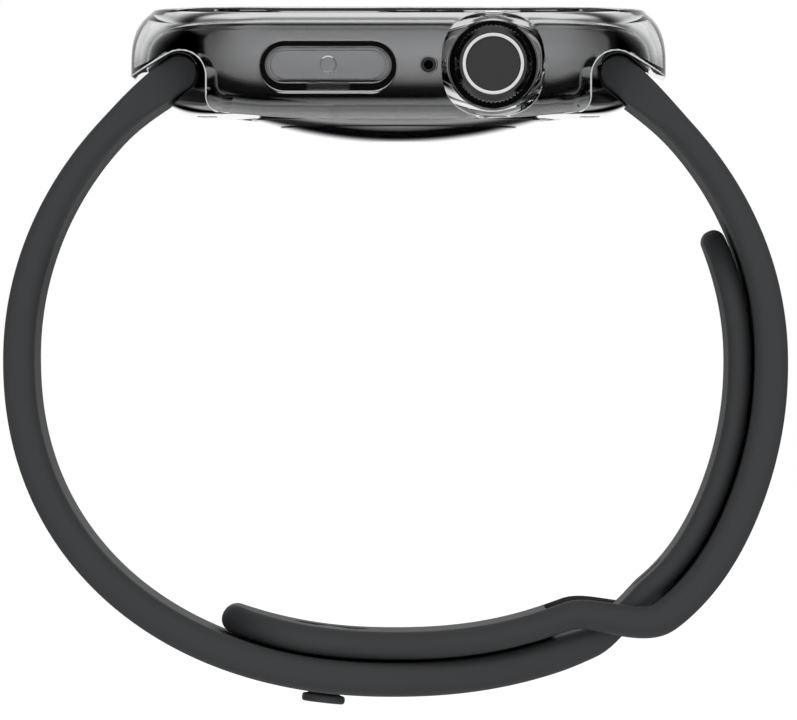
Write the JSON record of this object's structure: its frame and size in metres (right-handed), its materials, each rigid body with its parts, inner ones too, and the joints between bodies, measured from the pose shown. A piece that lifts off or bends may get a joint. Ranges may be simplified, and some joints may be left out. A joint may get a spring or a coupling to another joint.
{
  "type": "smartwatch in a clear case on a strap",
  "caption": "Rounded rectangular wrist watch in a clear protective case, with crown, side button and a soft pin-and-tuck strap closed into a loop.",
  "frame": {"origin": "lowest point of the domed back, where the watch lies on the wrist", "axes": "+Z out through the screen, +X toward the 12 o'clock strap lug, -Y toward the crown"},
  "size_m": [0.0704, 0.042, 0.0627],
  "materials": {
    "polished_metal": "polished graphite steel",
    "screen_glass": "polished black glass",
    "back_ceramic": "polished dark ceramic",
    "back_crystal": "polished dark crystal",
    "clear_plastic": "clear moulded plastic, polished",
    "strap_rubber": "soft matte dark grey rubber",
    "stud_metal": "satin dark grey",
    "bright_ring": "satin bright ring",
    "crown_face": "satin dark crystal disc",
    "seal": "black seal",
    "copper": "enamelled copper",
    "circuit_board": "green solder mask",
    "battery_foil": "matte foil",
    "steel": "fine machined",
    "dark_plastic": "moulded matte"
  },
  "bodies": {
    "watch": {"watch_housing": "polished_metal", "front_crystal": "screen_glass", "crystal_gasket": "seal", "display_panel": "screen_glass", "back_cover": "back_ceramic", "back_gasket": "seal", "sensor_crystal": "back_crystal", "charging_coil": "copper", "sensor_board": "circuit_board", "battery_cell": "battery_foil", "haptic_motor": "steel", "main_board": "circuit_board", "processor_module": "dark_plastic", "board_screw_1": "steel", "board_screw_2": "steel", "board_screw_3": "steel", "speaker_module": "dark_plastic", "microphone_capsule": "steel", "side_button_switch": "dark_plastic", "crown_bushing": "steel", "crown_seal": "seal", "crown_switch": "dark_plastic", "crown_encoder": "dark_plastic", "clear_case": "clear_plastic"},
    "crown_plunger": {"crown_collar": "dark_plastic"},
    "crown": {"crown_knob": "polished_metal", "crown_ring": "bright_ring", "crown_cap": "crown_face", "crown_shaft": "steel"},
    "side_key": {"side_button": "polished_metal", "side_button_clip": "steel"},
    "case_flap": {"case_button_flap": "clear_plastic"},
    "release_12": {"release_button_12": "polished_metal"},
    "release_6": {"release_button_6": "polished_metal"},
    "band": {"strap_pin_half": "strap_rubber", "strap_tail_half": "strap_rubber", "lug_catch_12": "steel", "lug_catch_6": "steel", "lug_core_12": "steel", "lug_core_6": "steel", "clasp_stud": "stud_metal", "clasp_stud_base": "stud_metal"}
  },
  "joints": [
    {"name": "crown_press", "type": "slide", "parent": "watch", "child": "crown_plunger", "axis": [0, 1, 0], "range_m": [0, 0.00035], "stiffness_N_per_m": 2000},
    {"name": "crown_turn", "type": "hinge", "parent": "crown_plunger", "child": "crown", "pos_m": [0.00843, 0, 0.00665], "axis": [0, -1, 0], "continuous": true},
    {"name": "flap_press", "type": "hinge", "parent": "watch", "child": "case_flap", "pos_m": [-0.00627, -0.02014, 0.00425], "axis": [-1, 0, 0], "range_deg": [0, 7.4]},
    {"name": "side_button_press", "type": "slide", "parent": "watch", "child": "side_key", "axis": [0, 1, 0], "range_m": [0, 0.0003], "stiffness_N_per_m": 1500},
    {"name": "release_12_press", "type": "slide", "parent": "watch", "child": "release_12", "axis": [0, 0, 1], "range_m": [0, 0.0004], "stiffness_N_per_m": 1000},
    {"name": "release_6_press", "type": "slide", "parent": "watch", "child": "release_6", "axis": [0, 0, 1], "range_m": [0, 0.0004], "stiffness_N_per_m": 1000},
    {"name": "band_slide", "type": "slide", "parent": "watch", "child": "band", "axis": [0, -1, 0], "range_m": [-0.034, 0.034]}
  ],
  "couplings": [
    {"joint": "flap_press", "follows": "side_button_press", "rad_per_m": 425.53}
  ]
}
